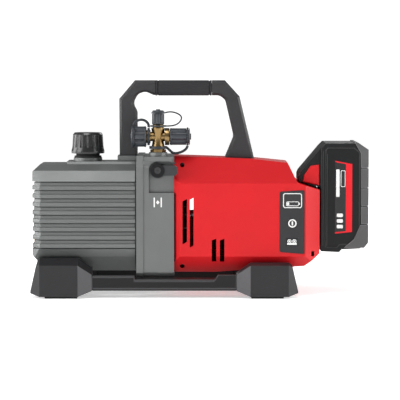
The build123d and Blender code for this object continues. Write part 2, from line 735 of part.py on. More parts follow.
def battery_case():
    shell = prism("Y", pack_outline(), -PACK_HALF, PACK_HALF)
    shell -= prism("Y", pack_outline(), 2.5 - PACK_HALF, PACK_HALF - 2.5, grow=-2.5) & bar(
        (160, 210), (-45, 45), (50, 190)
    )
    for side in (-1, 1):
        shell -= prism("Y", pack_outline(), *sorted((side * (PACK_HALF - PANEL_DEPTH), side * 41)), grow=-6)
    shell -= bar((PACK_LEFT - 1, 153.2), (-12.5, 12.5), (50, 132))
    shell -= bar((153.2, 157), (-15, 15), (50, 132))
    for y in BLADES:
        shell -= bar((149, 157), (y - 1, y + 1), (130, 131))
    return shell


def battery_head():
    """Latch end of the pack, over the sloping end of the motor housing."""
    outline = [(PACK_LEFT, PACK_TOP - 6), (124.8, 153.6), (123, 149.5), (123, 142), (PACK_LEFT, 134.8)]
    head = prism("Y", outline, -38, 38)
    for side in (-1, 1):
        pocket = prism("Y", LATCH, *sorted((side * 32, side * 39)), grow=LOOSE)
        head -= pocket
    return head


def battery_latch(side):
    plate = prism("Y", LATCH, *sorted((side * 35.3, side * 38.8)))
    outer = plate.faces().sort_by(Axis.Y)[0 if side < 0 else -1]
    return chamfer(outer.edges(), 1)


def battery_bumper():
    """Row of grey guards that wrap the outer end of the pack."""
    outline = GUARD_EDGE + [(195.5, PACK_TOP + 1.2), (END, 181.5), (END, 66), (203.5, 59)]
    wrap = prism("Y", outline, -PACK_HALF - 1.1, PACK_HALF + 1.1)
    wrap -= prism("Y", pack_outline(), -PACK_HALF - 0.05, PACK_HALF + 0.05, grow=0.05)
    rows = zip(GUARD_SPLITS, GUARD_SPLITS[1:])
    return group([wrap & bar((170, 215), (-45, 45), (low + 0.5, high - 0.5)) for low, high in rows])


def cell_places():
    return [(x, 74 + 21.9 * row) for x in (171, 190.3) for row in range(5)]


def battery_cells():
    return group([rod("Y", place, 9, -32, 32) for place in cell_places()])


def cell_holder():
    plates = []
    for low, high in ((-30, -24), (24, 30)):
        plate = bar((160.6, 199.9), (low, high), (64, 172))
        for place in cell_places():
            plate -= rod("Y", place, 9.05, low, high)
        plates.append(plate)
    return group(plates)


def pack_contacts():
    block = bar((PACK_LEFT + 0.5, 156.9), (-9, 9), (117, 131.9))
    for y in BLADES:
        block -= bar((PACK_LEFT, 155), (y - 0.9, y + 0.9), (116, 124.5))
    return block


# ---------------------------------------------------------------- handle

HANDLE_HALF = 15
HANDLE_OUTER = [(-100.5, 160), (-101, 244), (-81.5, HEIGHT), (31.3, HEIGHT), (49.5, 247), (70, 160)]
HANDLE_INNER = [
    (-78.6, 150), (-78.6, 228), (-84, 238), (-78, 250), (-68, 253.2), (-58, 248.6), (24, 248.2),
    (31.5, 243), (42.1, 197), (31.3, 171), (31.3, 150),
]
HANDLE_SCREWS = [(-91, 190), (-91, 240), (43, 240), (52, 186)]
GRIP = (-56, 15)
CORE_HALF = 11
CORE_Z = (252, 263)


def handle_half(side):
    """Front (-1) or rear (+1) half, thinned to a core where the grip sleeve goes round."""
    low, high = sorted((0, side * HANDLE_HALF))
    half = prism("Y", HANDLE_OUTER, low, high) - prism("Y", HANDLE_INNER, low, high, rounding=10)
    outer = half.faces().sort_by(Axis.Y)[0 if side < 0 else -1]
    half = chamfer(outer.edges(), 3)
    half -= bar((-110, PUMP_RIGHT), (low, high), (150, BODY_TOP))
    half -= housing_block(0)
    half -= bar(GRIP, (low, high), (240, HEIGHT + 1))
    half += bar(GRIP, sorted((0, side * CORE_HALF)), CORE_Z)
    for centre in HANDLE_SCREWS:
        if side > 0:
            half -= rod("Y", centre, 2.1, 0, 15)
            half -= rod("Y", centre, 3.6, 6, 15)
        else:
            half -= rod("Y", centre, 1.85, -10, 0)
    for centre in HANDLE_BOLTS_LEFT + HANDLE_BOLTS_RIGHT:
        half -= rod("Z", centre, 2.55, 160, 186)
    return half


def handle_grip():
    """Moulded sleeve round the bar, with a groove near each end."""
    outline = [(-HANDLE_HALF, 248), (-HANDLE_HALF, HEIGHT), (HANDLE_HALF, HEIGHT), (HANDLE_HALF, 248)]
    sleeve = prism("X", outline, GRIP[0] + 0.4, GRIP[1] - 0.4, rounding=5)
    sleeve -= bar(GRIP, (-11.1, 11.1), (251.9, 263.1))
    for x in (GRIP[0] + 2.8, GRIP[1] - 4):
        groove = prism("X", outline, x, x + 1.2, rounding=5)
        sleeve -= groove - prism("X", outline, x, x + 1.2, rounding=4, grow=-0.9)
    return sleeve


def handle_screws():
    return group([socket_screw("Y", centre, 1.8, 6, -9) for centre in HANDLE_SCREWS])


def handle_bolts():
    left = [socket_screw("Z", centre, 2.5, 155.9, 185) for centre in HANDLE_BOLTS_LEFT]
    right = [socket_screw("Z", centre, 2.5, 164, 185) for centre in HANDLE_BOLTS_RIGHT]
    return group(left + right)


# ---------------------------------------------------------------- base

FOOT_BACK = -46.5
FOOT_FRONT = -WIDTH / 2
# Stations along a left foot: X, front face Y, underside Z, top edge Z
FOOT_STATIONS = [
    (-END, -67, 6, 34),
    (-197, FOOT_FRONT, PAD_HEIGHT, 41),
    (-150, FOOT_FRONT, PAD_HEIGHT, 41),
    (-133, -71, 9, 29),
]
# What is cut off a left foot's outer end, which slopes in towards the top
FOOT_END_SLOPE = [(-END - 1, 8), (-END, 8), (-END + 12, 59), (-END - 1, 59)]
RIGHT_FOOT_CENTRE = 83
LEFT_FOOT_CENTRE = -171
RAIL_SECTION = [(-71, 12), (-71, 21), (-69, 23.4), (-50, 23.4), (-50, 9), (-68, 9)]
CROSS_X = ((-190, -152), (62, 102))
BASE_SCREWS = [(x, y) for x in (-171, 82) for y in (-28, 28)]


# How each foot's top leans back to the body: (Y, rise above the top edge), then the height at its back
LEFT_LEAN = [(-62, 8), (-57.5, 8)]
LEFT_BACK_Z = 37.5
RIGHT_LEAN = [(-70, 3), (-67, 3)]
RIGHT_BACK_Z = 27


def foot_station(x, front, underside, top, lean, back_z):
    """Outline of a foot across X, leaning back against the bevel of the body."""
    outline = [(FOOT_BACK, underside), (front, underside), (front, top)]
    outline += [(y, top + rise) for y, rise in lean] + [(FOOT_BACK, back_z)]
    return plane_at("X", x) * make_face(Polyline(*outline, close=True))


def foot(centre_x, side, mirrored, lean, back_z):
    """Tapered block; the right feet are the left ones mirrored end for end."""
    stations = [foot_station(*values, lean, back_z) for values in FOOT_STATIONS]
    block = loft(stations[:2], ruled=True)
    for near, far in zip(stations[1:], stations[2:]):
        block += loft([near, far], ruled=True)
    block -= prism("Y", FOOT_END_SLOPE, FOOT_FRONT - 1, FOOT_BACK + 1)
    block = block.translate((-LEFT_FOOT_CENTRE, 0, 0))
    if mirrored:
        block = mirror(block, Plane.YZ)
    if side > 0:
        block = mirror(block, Plane.XZ)
    return block.translate((centre_x, 0, 0))


def foot_pads():
    pads = []
    for centre_x in (LEFT_FOOT_CENTRE, RIGHT_FOOT_CENTRE):
        for side in (-1, 1):
            y = sorted((side * 50, side * 73))
            pads.append(bar((centre_x - 20, centre_x + 20), y, (0, PAD_HEIGHT)))
    return group(pads)


def base_rail(side):
    rail = prism("X", RAIL_SECTION, -133, 45)
    rail += prism("X", [(-71, 20), (-71, 26), (-69, 28), (-62, 28), (-62, 20)], -133, PUMP_LEFT - 2)
    rail += prism("Y", [(16, 20), (22, 29), (45, 29), (45, 20)], -71, -64)
    return mirror(rail, Plane.XZ) if side > 0 else rail


def base_cross(span):
    plate = bar(span, (-46.5, 46.5), (10, 24))
    plate += bar(span, (-38, 38), (24, BODY_BOTTOM))
    for x, y in BASE_SCREWS:
        plate -= rod("Z", (x, y), 2.1, 9, 31)
        plate -= rod("Z", (x, y), 4, 9, 15)
    return plate


def base_screws():
    return group([socket_screw("Z", centre, 2, 15, 29.8) for centre in BASE_SCREWS])


# ---------------------------------------------------------------- write every piece

os.makedirs("parts", exist_ok=True)

save("oil_reservoir", oil_reservoir())
save("sight_bezel", sight_bezel())
save("clear_lenses", group([sight_glass(), sight_lamp()]))
save("drain_plug", drain_plug())
save("demister", demister())
save("oil_cap", oil_cap())
save("oil_cap_gasket", oil_cap_gasket())

save("pump_housing", pump_housing())
save("casting_seals", group([reservoir_gasket(), shaft_seal()]))
save("casting_bolts", group([reservoir_bolts(), pump_bolts()]))
save("pump_stators", group([stator(STAGE_ONE), stator_stage_two()]))
save("pump_plates", group([stage_plate(MIDDLE_PLATE, SHAFT_RADIUS + RUNNING), pump_end_cover()]))
save("exhaust_valve", exhaust_valve())
save("pump_rotors", group([rotor(STAGE_ONE), rotor(STAGE_TWO)]))
save("vanes", vanes())

save("valve_spindle", valve_spindle())
save("valve_lever", valve_lever())
save("lever_screw", lever_screw())
save("intake_manifold", intake_manifold())
for side, (cap, port) in CAPS.items():
    save(f"{side}_cap", screw_cap(bore=port["radius"] + LOOSE, **cap))
    save(f"{side}_cap_ring", cap_ring(cap))
save("left_strap", left_strap())
save("right_strap", right_strap())
save("top_strap", top_strap())

save("drive_shafts", group([pump_shaft(), motor_shaft()]))
save("coupling", group([coupling_hub(-64, -52), coupling_spider(), coupling_hub(-45, -33)]))
save("cooling_fan", cooling_fan())
save("motor_frame", group([motor_bracket(MOTOR_FRONT), motor_can(), motor_bracket(MOTOR_BACK)]))
save("motor_bearings", motor_bearings())
save("motor_windings", motor_windings())
save("motor_stator", motor_stator())
save("motor_rotor", motor_rotor())

housing = motor_housing()
panel_opening = prism("Y", PANEL_CORNERS, -70, -60, rounding=2)
save("motor_housing_front", housing_half(housing, -1) - panel_opening)
save("motor_housing_rear", housing_half(housing, 1))
save("control_panel", control_panel())
save("screen", screen())
save("power_button", power_button())
save("lamp_button", lamp_button())
save("electronics", group([control_board(), motor_controller()]))

save("battery_rail", battery_rail())
save("battery_terminals", battery_terminals())
save("battery_case", battery_case())
save("battery_head", battery_head())
save("battery_latch_front", battery_latch(-1))
save("battery_latch_rear", battery_latch(1))
save("battery_bumper", battery_bumper())
save("battery_cells", battery_cells())
save("pack_frame", group([cell_holder(), pack_contacts()]))

save("handle_front", handle_half(-1))
save("handle_rear", handle_half(1))
save("handle_grip", handle_grip())
save("handle_fasteners", group([handle_screws(), handle_bolts()]))

feet = [foot(LEFT_FOOT_CENTRE, side, False, LEFT_LEAN, LEFT_BACK_Z) for side in (-1, 1)]
feet += [foot(RIGHT_FOOT_CENTRE, side, True, RIGHT_LEAN, RIGHT_BACK_Z) for side in (-1, 1)]
save("feet", group(feet))
save("foot_pads", foot_pads())
save("base_frame", group([base_rail(-1), base_rail(1)] + [base_cross(span) for span in CROSS_X]))
save("self_tapping_screws", group([housing_screws(), base_screws()]))
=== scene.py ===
import json
import math

import bmesh
import bpy
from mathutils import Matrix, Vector


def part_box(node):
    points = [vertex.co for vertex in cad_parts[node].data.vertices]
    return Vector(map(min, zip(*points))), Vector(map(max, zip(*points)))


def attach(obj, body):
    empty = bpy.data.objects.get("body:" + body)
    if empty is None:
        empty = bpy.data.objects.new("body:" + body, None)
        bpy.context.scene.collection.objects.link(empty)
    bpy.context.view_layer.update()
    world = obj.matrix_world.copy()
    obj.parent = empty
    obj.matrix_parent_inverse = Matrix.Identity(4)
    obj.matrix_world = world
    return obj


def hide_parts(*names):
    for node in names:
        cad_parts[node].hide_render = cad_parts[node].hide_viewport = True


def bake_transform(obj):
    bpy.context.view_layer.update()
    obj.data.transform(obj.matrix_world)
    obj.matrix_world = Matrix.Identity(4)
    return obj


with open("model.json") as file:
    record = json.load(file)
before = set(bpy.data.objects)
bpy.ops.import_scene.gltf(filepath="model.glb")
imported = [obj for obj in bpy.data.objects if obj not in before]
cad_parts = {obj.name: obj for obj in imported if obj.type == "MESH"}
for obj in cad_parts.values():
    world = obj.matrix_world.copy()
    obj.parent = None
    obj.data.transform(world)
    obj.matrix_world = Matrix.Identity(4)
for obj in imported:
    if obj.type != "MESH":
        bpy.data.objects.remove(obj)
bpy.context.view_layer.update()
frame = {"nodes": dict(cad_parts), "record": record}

MM = 0.001
nodes = frame["nodes"]


# ---------------------------------------------------------------- camera and light

# The camera looks straight at the control side, from slightly above
PICTURE_WIDTH = 0.492
DISTANCE = 2.4
TILT = math.radians(4.0)
AIM_HEIGHT = 0.1205
AIM = Vector((0.0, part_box("oil_reservoir")[0].y, AIM_HEIGHT))
SENSOR_WIDTH = 36


def add_camera():
    data = bpy.data.cameras.new("camera")
    data.sensor_width = SENSOR_WIDTH
    data.lens = SENSOR_WIDTH * DISTANCE / PICTURE_WIDTH
    data.clip_start = 0.05
    data.clip_end = 30
    camera = bpy.data.objects.new("camera", data)
    back = Vector((0, -math.cos(TILT), math.sin(TILT)))
    camera.location = AIM + back * DISTANCE
    camera.rotation_mode = "QUATERNION"
    camera.rotation_quaternion = (-back).to_track_quat("-Z", "Y")
    bpy.context.scene.collection.objects.link(camera)
    bpy.context.scene.camera = camera


LIT_POINT = Vector((0, 0, 0.12))


def place_light(light, place):
    """Puts a light at a place and points it at the middle of the pump."""
    light.location = place
    light.visible_camera = False
    light.rotation_mode = "QUATERNION"
    light.rotation_quaternion = (LIT_POINT - light.location).to_track_quat("-Z", "Y")
    bpy.context.scene.collection.objects.link(light)


def add_area(name, place, size, power):
    data = bpy.data.lights.new(name, "AREA")
    data.shape = "RECTANGLE"
    data.size, data.size_y = size
    data.energy = power
    place_light(bpy.data.objects.new(name, data), Vector(place))


def add_sun(name, place, strength, softness):
    data = bpy.data.lights.new(name, "SUN")
    data.energy = strength
    data.angle = math.radians(softness)
    place_light(bpy.data.objects.new(name, data), Vector(place))


# Strength of the surround as the camera sees it, and as it lights the pump
SKY_SEEN = 1.15
SKY_LIGHT = 0.22


def add_studio():
    """White surround for the camera, with a dimmer one that lights the pump."""
    world = bpy.data.worlds.new("studio")
    world.use_nodes = True
    tree = world.node_tree
    path = tree.nodes.new("ShaderNodeLightPath")
    level = tree.nodes.new("ShaderNodeMapRange")
    level.inputs["To Min"].default_value = SKY_LIGHT
    level.inputs["To Max"].default_value = SKY_SEEN
    tree.links.new(path.outputs["Is Camera Ray"], level.inputs["Value"])
    background = tree.nodes["Background"]
    background.inputs["Color"].default_value = (1, 1, 1, 1)
    tree.links.new(level.outputs["Result"], background.inputs["Strength"])
    bpy.context.scene.world = world
    bpy.context.scene.view_settings.view_transform = "Standard"
    add_sun("sky_sun", (-0.3, -0.9, 2.3), 1.35, 30)
    add_area("key", (-1.5, -0.75, 0.7), (0.9, 1.2), 18)
    add_area("fill", (1.5, -0.65, 0.5), (1.0, 1.2), 15)
    add_area("edge_left", (-1.7, 0.45, 0.5), (0.9, 1.2), 16)
    add_area("edge_right", (1.7, 0.45, 0.5), (0.9, 1.2), 16)
    add_area("low_front", (-0.1, -1.1, 0.04), (1.6, 0.2), 1.2)
    add_area("rim", (0.6, 1.5, 1.0), (0.8, 0.5), 5)


# ---------------------------------------------------------------- materials


def new_material(name):
    material = bpy.data.materials.new(name)
    material.use_nodes = True
    return material, material.node_tree.nodes, material.node_tree.links


def noise(tree_nodes, links, scale, detail=3, roughness=0.5):
    """Noise in the object's own space, so that it stays with the piece."""
    place = tree_nodes.new("ShaderNodeTexCoord")
    texture = tree_nodes.new("ShaderNodeTexNoise")
    texture.inputs["Scale"].default_value = scale
    texture.inputs["Detail"].default_value = detail
    texture.inputs["Roughness"].default_value = roughness
    links.new(place.outputs["Object"], texture.inputs["Vector"])
    return texture.outputs["Fac"]


def spread(tree_nodes, links, value, low_value, high_value, start=0.3, end=0.7):
    """Maps the useful middle of a noise to a range."""
    ramp = tree_nodes.new("ShaderNodeMapRange")
    ramp.inputs["From Min"].default_value = start
    ramp.inputs["From Max"].default_value = end
    ramp.inputs["To Min"].default_value = low_value
    ramp.inputs["To Max"].default_value = high_value
    links.new(value, ramp.inputs["Value"])
    return ramp.outputs["Result"]


def two_tone(tree_nodes, links, value, dark, light, start=0.3, end=0.7):
    ramp = tree_nodes.new("ShaderNodeValToRGB")
    ramp.color_ramp.elements[0].position = start
    ramp.color_ramp.elements[1].position = end
    ramp.color_ramp.elements[0].color = (*dark, 1)
    ramp.color_ramp.elements[1].color = (*light, 1)
    links.new(value, ramp.inputs["Fac"])
    return ramp.outputs["Color"]


def bump(tree_nodes, links, value, strength, distance, below=None):
    node = tree_nodes.new("ShaderNodeBump")
    node.inputs["Strength"].default_value = strength
    node.inputs["Distance"].default_value = distance
    links.new(value, node.inputs["Height"])
    if below:
        links.new(below, node.inputs["Normal"])
    return node.outputs["Normal"]


# Handling marks are level lines of one noise, kept where a slower one is high
SCUFF_SCALE = 45
SCUFF_LEVEL = 0.5
SCUFF_WIDTH = 0.004
PATCH_SCALE = 14


def scuff_mask(tree_nodes, links):
    """Thin wandering lines, broken up by a slower noise: handling marks."""
    lines = noise(tree_nodes, links, SCUFF_SCALE, 5, 0.55)
    distance = tree_nodes.new("ShaderNodeMath")
    distance.operation = "COMPARE"
    distance.inputs[1].default_value = SCUFF_LEVEL
    distance.inputs[2].default_value = SCUFF_WIDTH
    links.new(lines, distance.inputs[0])
    slow = noise(tree_nodes, links, PATCH_SCALE, 2, 0.5)
    patches = spread(tree_nodes, links, slow, 0, 1, 0.58, 0.75)
    mask = tree_nodes.new("ShaderNodeMath")
    mask.operation = "MULTIPLY"
    links.new(distance.outputs["Value"], mask.inputs[0])
    links.new(patches, mask.inputs[1])
    return mask.outputs["Value"]


# Places of the colour sockets on Blender's Mix node
COLOUR_A = 6
COLOUR_B = 7
COLOUR_RESULT = 2


def mixed(tree_nodes, links, mask, below, above):
    """Colour that goes from below to above where the mask is one."""
    mix = tree_nodes.new("ShaderNodeMix")
    mix.data_type = "RGBA"
    links.new(mask, mix.inputs["Factor"])
    links.new(below, mix.inputs[COLOUR_A])
    mix.inputs[COLOUR_B].default_value = (*above, 1)
    return mix.outputs[COLOUR_RESULT]


# Reach of the painted shade in grooves and corners
CREVICE_SHADE_REACH = 5 * MM


def painted_crevice_shade(tree_nodes, links, colour, darkest):
    """Darkens a colour in grooves and corners: painted shade where light is shut out."""
    shade = tree_nodes.new("ShaderNodeAmbientOcclusion")
    shade.samples = 8
    shade.inputs["Distance"].default_value = CREVICE_SHADE_REACH
    level = spread(tree_nodes, links, shade.outputs["AO"], darkest, 1, 0.25, 0.85)
    mix = tree_nodes.new("ShaderNodeMix")
    mix.data_type = "RGBA"
    mix.blend_type = "MULTIPLY"
    mix.inputs["Factor"].default_value = 1
    links.new(colour, mix.inputs[COLOUR_A])
    links.new(level, mix.inputs[COLOUR_B])
    return mix.outputs[COLOUR_RESULT]


DUST_SCALE = 7


def surface(
    name, colour, roughness, grain, depth, metallic=0.0, contrast=0.1, cloud=18, strength=0.5, coat=0.0,
    gloss=0.5, wear=0.35, crevice_shade=0.35,
):
    """Base finish: fine grain in the bump, slow changes in colour and gloss, faint scuffs and dust, and
    painted shade in grooves and corners.
    """
    material, tree_nodes, links = new_material(name)
    shader = tree_nodes["Principled BSDF"]
    shader.inputs["Metallic"].default_value = metallic
    shader.inputs["Coat Weight"].default_value = coat
    shader.inputs["Specular IOR Level"].default_value = gloss
    slow = noise(tree_nodes, links, cloud, 4, 0.6)
    fine = noise(tree_nodes, links, grain, 4, 0.65)
    dark = [c * (1 - contrast) for c in colour]
    light = [min(1, c * (1 + contrast)) for c in colour]
    clean = two_tone(tree_nodes, links, slow, dark, light)
    worn = [min(1, c * (1 + 0.6 * wear) + 0.02 * wear) for c in colour]
    scuffed = mixed(tree_nodes, links, scuff_mask(tree_nodes, links), clean, worn)
    clouds = noise(tree_nodes, links, DUST_SCALE, 6, 0.7)
    dust = spread(tree_nodes, links, clouds, 0, 0.25 * wear, 0.5, 0.75)
    dusty = [c * 0.9 + 0.012 for c in colour]
    finish = mixed(tree_nodes, links, dust, scuffed, dusty)
    # Painted shade: the colour darkens in grooves and corners
    links.new(painted_crevice_shade(tree_nodes, links, finish, crevice_shade), shader.inputs["Base Color"])
    gloss_level = spread(tree_nodes, links, slow, roughness * 0.85, min(1, roughness * 1.15))
    links.new(gloss_level, shader.inputs["Roughness"])
    links.new(bump(tree_nodes, links, fine, strength, depth), shader.inputs["Normal"])
    return material


def turned_metal(name, colour, roughness, axis, pitch=900):
    """Machined metal with fine turning lines across an axis."""
    material = surface(name, colour, roughness, 500, 0.05 * MM, metallic=1.0, contrast=0.08, strength=0.3)
    tree_nodes, links = material.node_tree.nodes, material.node_tree.links
    place = tree_nodes.new("ShaderNodeTexCoord")
    wave = tree_nodes.new("ShaderNodeTexWave")
    wave.bands_direction = axis
    wave.inputs["Scale"].default_value = pitch
    wave.inputs["Distortion"].default_value = 0.5
    links.new(place.outputs["Object"], wave.inputs["Vector"])
    shader = tree_nodes["Principled BSDF"]
    below = shader.inputs["Normal"].links[0].from_socket
    links.new(bump(tree_nodes, links, wave.outputs["Fac"], 0.25, 0.04 * MM, below), shader.inputs["Normal"])
    return material


def ribbed_rubber(name, colour, roughness, axis, scale):
    """Soft grip with straight ribs."""
    material = surface(name, colour, roughness, 1500, 0.06 * MM, contrast=0.12)
    tree_nodes, links = material.node_tree.nodes, material.node_tree.links
    place = tree_nodes.new("ShaderNodeTexCoord")
    wave = tree_nodes.new("ShaderNodeTexWave")
    wave.bands_direction = axis
    wave.wave_profile = "SIN"
    wave.inputs["Scale"].default_value = scale
    links.new(place.outputs["Object"], wave.inputs["Vector"])
    shader = tree_nodes["Principled BSDF"]
    shader.inputs["Specular IOR Level"].default_value = 0.3
    below = shader.inputs["Normal"].links[0].from_socket
    links.new(bump(tree_nodes, links, wave.outputs["Fac"], 0.6, 0.4 * MM, below), shader.inputs["Normal"])
    return material


def clear_lens(name):
    material = surface(name, (0.8, 0.85, 0.8), 0.08, 300, 0.02 * MM, contrast=0.03, strength=0.1)
    material.node_tree.nodes["Principled BSDF"].inputs["Transmission Weight"].default_value = 0.9
    return material


LOOKS = {
    "casting": surface(
        "casting", (0.136, 0.144, 0.141), 0.42, 900, 0.2 * MM, metallic=0.35, contrast=0.07, crevice_shade=0.36,
    ),
    "red": surface("red", (0.545, 0.005, 0.009), 0.46, 1400, 0.05 * MM, contrast=0.04, gloss=0.28),
    "charcoal": surface(
        "charcoal", (0.021, 0.021, 0.023), 0.5, 1100, 0.12 * MM, contrast=0.12, gloss=0.45,
    ),
    "base": surface("base", (0.009, 0.009, 0.0105), 0.4, 1200, 0.12 * MM, contrast=0.15, gloss=0.4),
    "rail": surface("rail", (0.005, 0.005, 0.0056), 0.45, 1200, 0.12 * MM, contrast=0.15, gloss=0.3),
    # Lighter grey for the feet's inward facets: painted side light
    "base_facet_lit": surface(
        "base_facet_lit", (0.075, 0.075, 0.079), 0.45, 1200, 0.12 * MM, contrast=0.12, gloss=0.4,
    ),
    "pack": surface("pack", (0.0045, 0.005, 0.0055), 0.45, 1200, 0.12 * MM, contrast=0.15, gloss=0.25),
    # Lighter copies of the looks for rounded edges: painted highlight
    "casting_edge_highlight": surface("casting_edge_highlight", (0.25, 0.26, 0.255), 0.4, 900, 0.15 * MM, metallic=0.4),
    "charcoal_edge_highlight": surface("charcoal_edge_highlight", (0.05, 0.05, 0.053), 0.42, 1100, 0.1 * MM, gloss=0.45),
    "base_edge_highlight": surface("base_edge_highlight", (0.03, 0.03, 0.033), 0.42, 1200, 0.1 * MM, gloss=0.45),
    "guard_edge_highlight": surface("guard_edge_highlight", (0.16, 0.16, 0.163), 0.5, 1000, 0.12 * MM, gloss=0.4),
    "red_edge_highlight": surface(
        "red_edge_highlight", (0.66, 0.012, 0.018), 0.42, 1400, 0.05 * MM, contrast=0.04, gloss=0.35,
    ),
    "pack_edge_highlight": surface(
        "pack_edge_highlight", (0.03, 0.031, 0.032), 0.5, 1200, 0.12 * MM, contrast=0.15, gloss=0.3,
    ),
    "guard": surface("guard", (0.074, 0.074, 0.076), 0.6, 1000, 0.15 * MM, contrast=0.12, gloss=0.4),
    "panel": surface("panel", (0.024, 0.024, 0.026), 0.5, 1500, 0.05 * MM, contrast=0.1, gloss=0.3),
    "button": surface("button", (0.034, 0.034, 0.037), 0.45, 1500, 0.05 * MM, contrast=0.1, gloss=0.3),
    "screen": surface("screen", (0.014, 0.014, 0.015), 0.16, 700, 0.01 * MM, gloss=0.3, wear=0.1),
    "gloss_black": surface("gloss_black", (0.009, 0.009, 0.01), 0.25, 800, 0.05 * MM, gloss=0.35),
    "lever": surface("lever", (0.006, 0.006, 0.007), 0.45, 1300, 0.07 * MM, contrast=0.15, gloss=0.2),
    "lever_face": surface("lever_face", (0.027, 0.028, 0.03), 0.45, 1300, 0.07 * MM, gloss=0.4),
    "screw_black": surface("screw_black", (0.03, 0.03, 0.032), 0.35, 1300, 0.05 * MM, gloss=0.4),
    "cap": surface("cap", (0.034, 0.039, 0.047), 0.42, 1200, 0.1 * MM, contrast=0.12),
    "oil_cap": surface("oil_cap", (0.014, 0.014, 0.015), 0.3, 1200, 0.02 * MM, contrast=0.12, coat=0.15),
    "strap": surface("strap", (0.02, 0.024, 0.03), 0.5, 1200, 0.06 * MM, contrast=0.12, gloss=0.4),
    "rubber": surface("rubber", (0.02, 0.02, 0.02), 0.8, 900, 0.15 * MM, contrast=0.2, gloss=0.3),
    "brass": turned_metal("brass", (0.27, 0.18, 0.078), 0.3, "X"),
    "steel": turned_metal("steel", (0.5, 0.5, 0.52), 0.35, "X"),
    "dark_steel": surface(
        "dark_steel", (0.12, 0.12, 0.13), 0.4, 900, 0.06 * MM, metallic=1.0, contrast=0.15,
    ),
    "grip": ribbed_rubber("grip", (0.018, 0.018, 0.02), 0.6, "Z", 110),
    "lens": clear_lens("lens"),
    "copper": surface("copper", (0.55, 0.2, 0.08), 0.35, 600, 0.2 * MM, metallic=1.0),
    "foam": surface("foam", (0.3, 0.28, 0.24), 0.9, 500, 0.5 * MM, contrast=0.3),
    "board": surface("board", (0.015, 0.12, 0.05), 0.4, 700, 0.06 * MM),
    "white_mark": surface(
        "white_mark", (0.74, 0.75, 0.74), 0.5, 1500, 0.03 * MM, contrast=0.05, wear=0.15,
    ),
    "red_mark": surface(
        "red_mark", (0.68, 0.009, 0.017), 0.5, 1500, 0.03 * MM, contrast=0.05, gloss=0.25,
    ),
}

LOOK_OF_SLOT = {
    "grey_casting": "casting", "dark_metal": "dark_steel", "steel": "steel", "zinc_screws": "dark_steel",
    "seal_rubber": "rubber", "clear_plastic": "lens", "brass": "brass", "black_gloss": "gloss_black",
    "cap_plastic": "cap", "strap_plastic": "strap", "charcoal": "charcoal", "grip_plastic": "grip",
    "red_plastic": "red", "panel_plastic": "panel", "screen_glass": "screen", "button_plastic": "button",
    "pack_plastic": "pack", "guard_plastic": "guard", "base_plastic": "base", "copper": "copper",
    "foam": "foam", "circuit_board": "board", "lever_plastic": "lever",
}


def front_of(name):
    """Middle X, middle Z and front Y of a node."""
    low_corner, high_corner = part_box(name)
    return (low_corner.x + high_corner.x) / 2, (low_corner.z + high_corner.z) / 2, low_corner.y


def dress(piece, look):
    piece.data.materials.clear()
    piece.data.materials.append(LOOKS[look])
    for polygon in piece.data.polygons:
        polygon.material_index = 0


# Radius of the valve lever's hub, and depth of the flange behind its grip
HUB_RADIUS = 8.7 * MM
FLANGE_DEPTH = 2.6 * MM


def dress_lever():
    """The flat grip is a lighter grey than the hub and the flange behind it. The flange's near-black is
    partly its own colour and partly painted shade behind the lever.
    """
    lever = nodes["valve_lever"]
    lever.data.materials.append(LOOKS["lever_face"])
    pivot_x, pivot_z, _ = front_of("lever_screw")
    back_of_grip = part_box("valve_lever")[1].y - FLANGE_DEPTH
    for polygon in lever.data.polygons:
        place = lever.matrix_world @ polygon.center
        away = math.hypot(place.x - pivot_x, place.z - pivot_z)
        if place.y < back_of_grip and away > HUB_RADIUS:
            polygon.material_index = 1


# Limits on a slanted face's normal: its inward part, and its part up or down
INWARD_LEAST = 0.2
INWARD_MOST = 0.97
UPWARD_MOST = 0.3


def dress_feet():
    """The slanted faces of the feet that look to the middle of the pump are a lighter grey: painted light
    falling on them from the sides.
    """
    feet = nodes["feet"]
    feet.data.materials.append(LOOKS["base_facet_lit"])
    for polygon in feet.data.polygons:
        place = feet.matrix_world @ polygon.center
        normal = feet.matrix_world.to_3x3() @ polygon.normal
        inward = normal.x * (-1 if place.x > 0 else 1)
        if INWARD_LEAST < inward < INWARD_MOST and abs(normal.z) < UPWARD_MOST:
            polygon.material_index = 1


def dress_nodes():
    for row in frame["record"]["subparts"]:
        dress(nodes[row["node"]], LOOK_OF_SLOT[row["material_slot"]])
    dress(nodes["oil_cap"], "oil_cap")
    dress(nodes["lever_screw"], "screw_black")
    dress(nodes["base_frame"], "rail")
    dress_lever()
    dress_feet()


# ---------------------------------------------------------------- softened edges

# Width of each node's rounded edges, in millimetres
EDGE_WIDTHS = {
    "oil_reservoir": 0.8, "pump_housing": 0.8, "motor_housing_front": 0.8, "motor_housing_rear": 0.8,
    "control_panel": 0.5, "battery_case": 1.0, "battery_head": 1.0, "battery_bumper": 0.8,
    "battery_latch_front": 0.5, "battery_latch_rear": 0.5, "handle_front": 1.6, "handle_rear": 1.6,
    "handle_grip": 0.5, "feet": 1.6, "base_frame": 1.0, "foot_pads": 0.6, "valve_lever": 1.0,
    "oil_cap": 0.6, "left_cap": 0.5, "right_cap": 0.5, "top_cap": 0.5, "intake_manifold": 0.4,
    "power_button": 0.4, "lamp_button": 0.4, "sight_bezel": 0.3,
}

# Rounded edges get a lighter copy of the face's look: a painted highlight along the edges
EDGE_HIGHLIGHT_LOOKS = {
    "oil_reservoir": "casting_edge_highlight", "pump_housing": "casting_edge_highlight", "handle_front": "charcoal_edge_highlight",
    "handle_rear": "charcoal_edge_highlight", "feet": "base_edge_highlight", "base_frame": "base_edge_highlight",
    "battery_case": "pack_edge_highlight", "battery_head": "pack_edge_highlight", "battery_bumper": "guard_edge_highlight",
    "motor_housing_front": "red_edge_highlight", "motor_housing_rear": "red_edge_highlight",
}


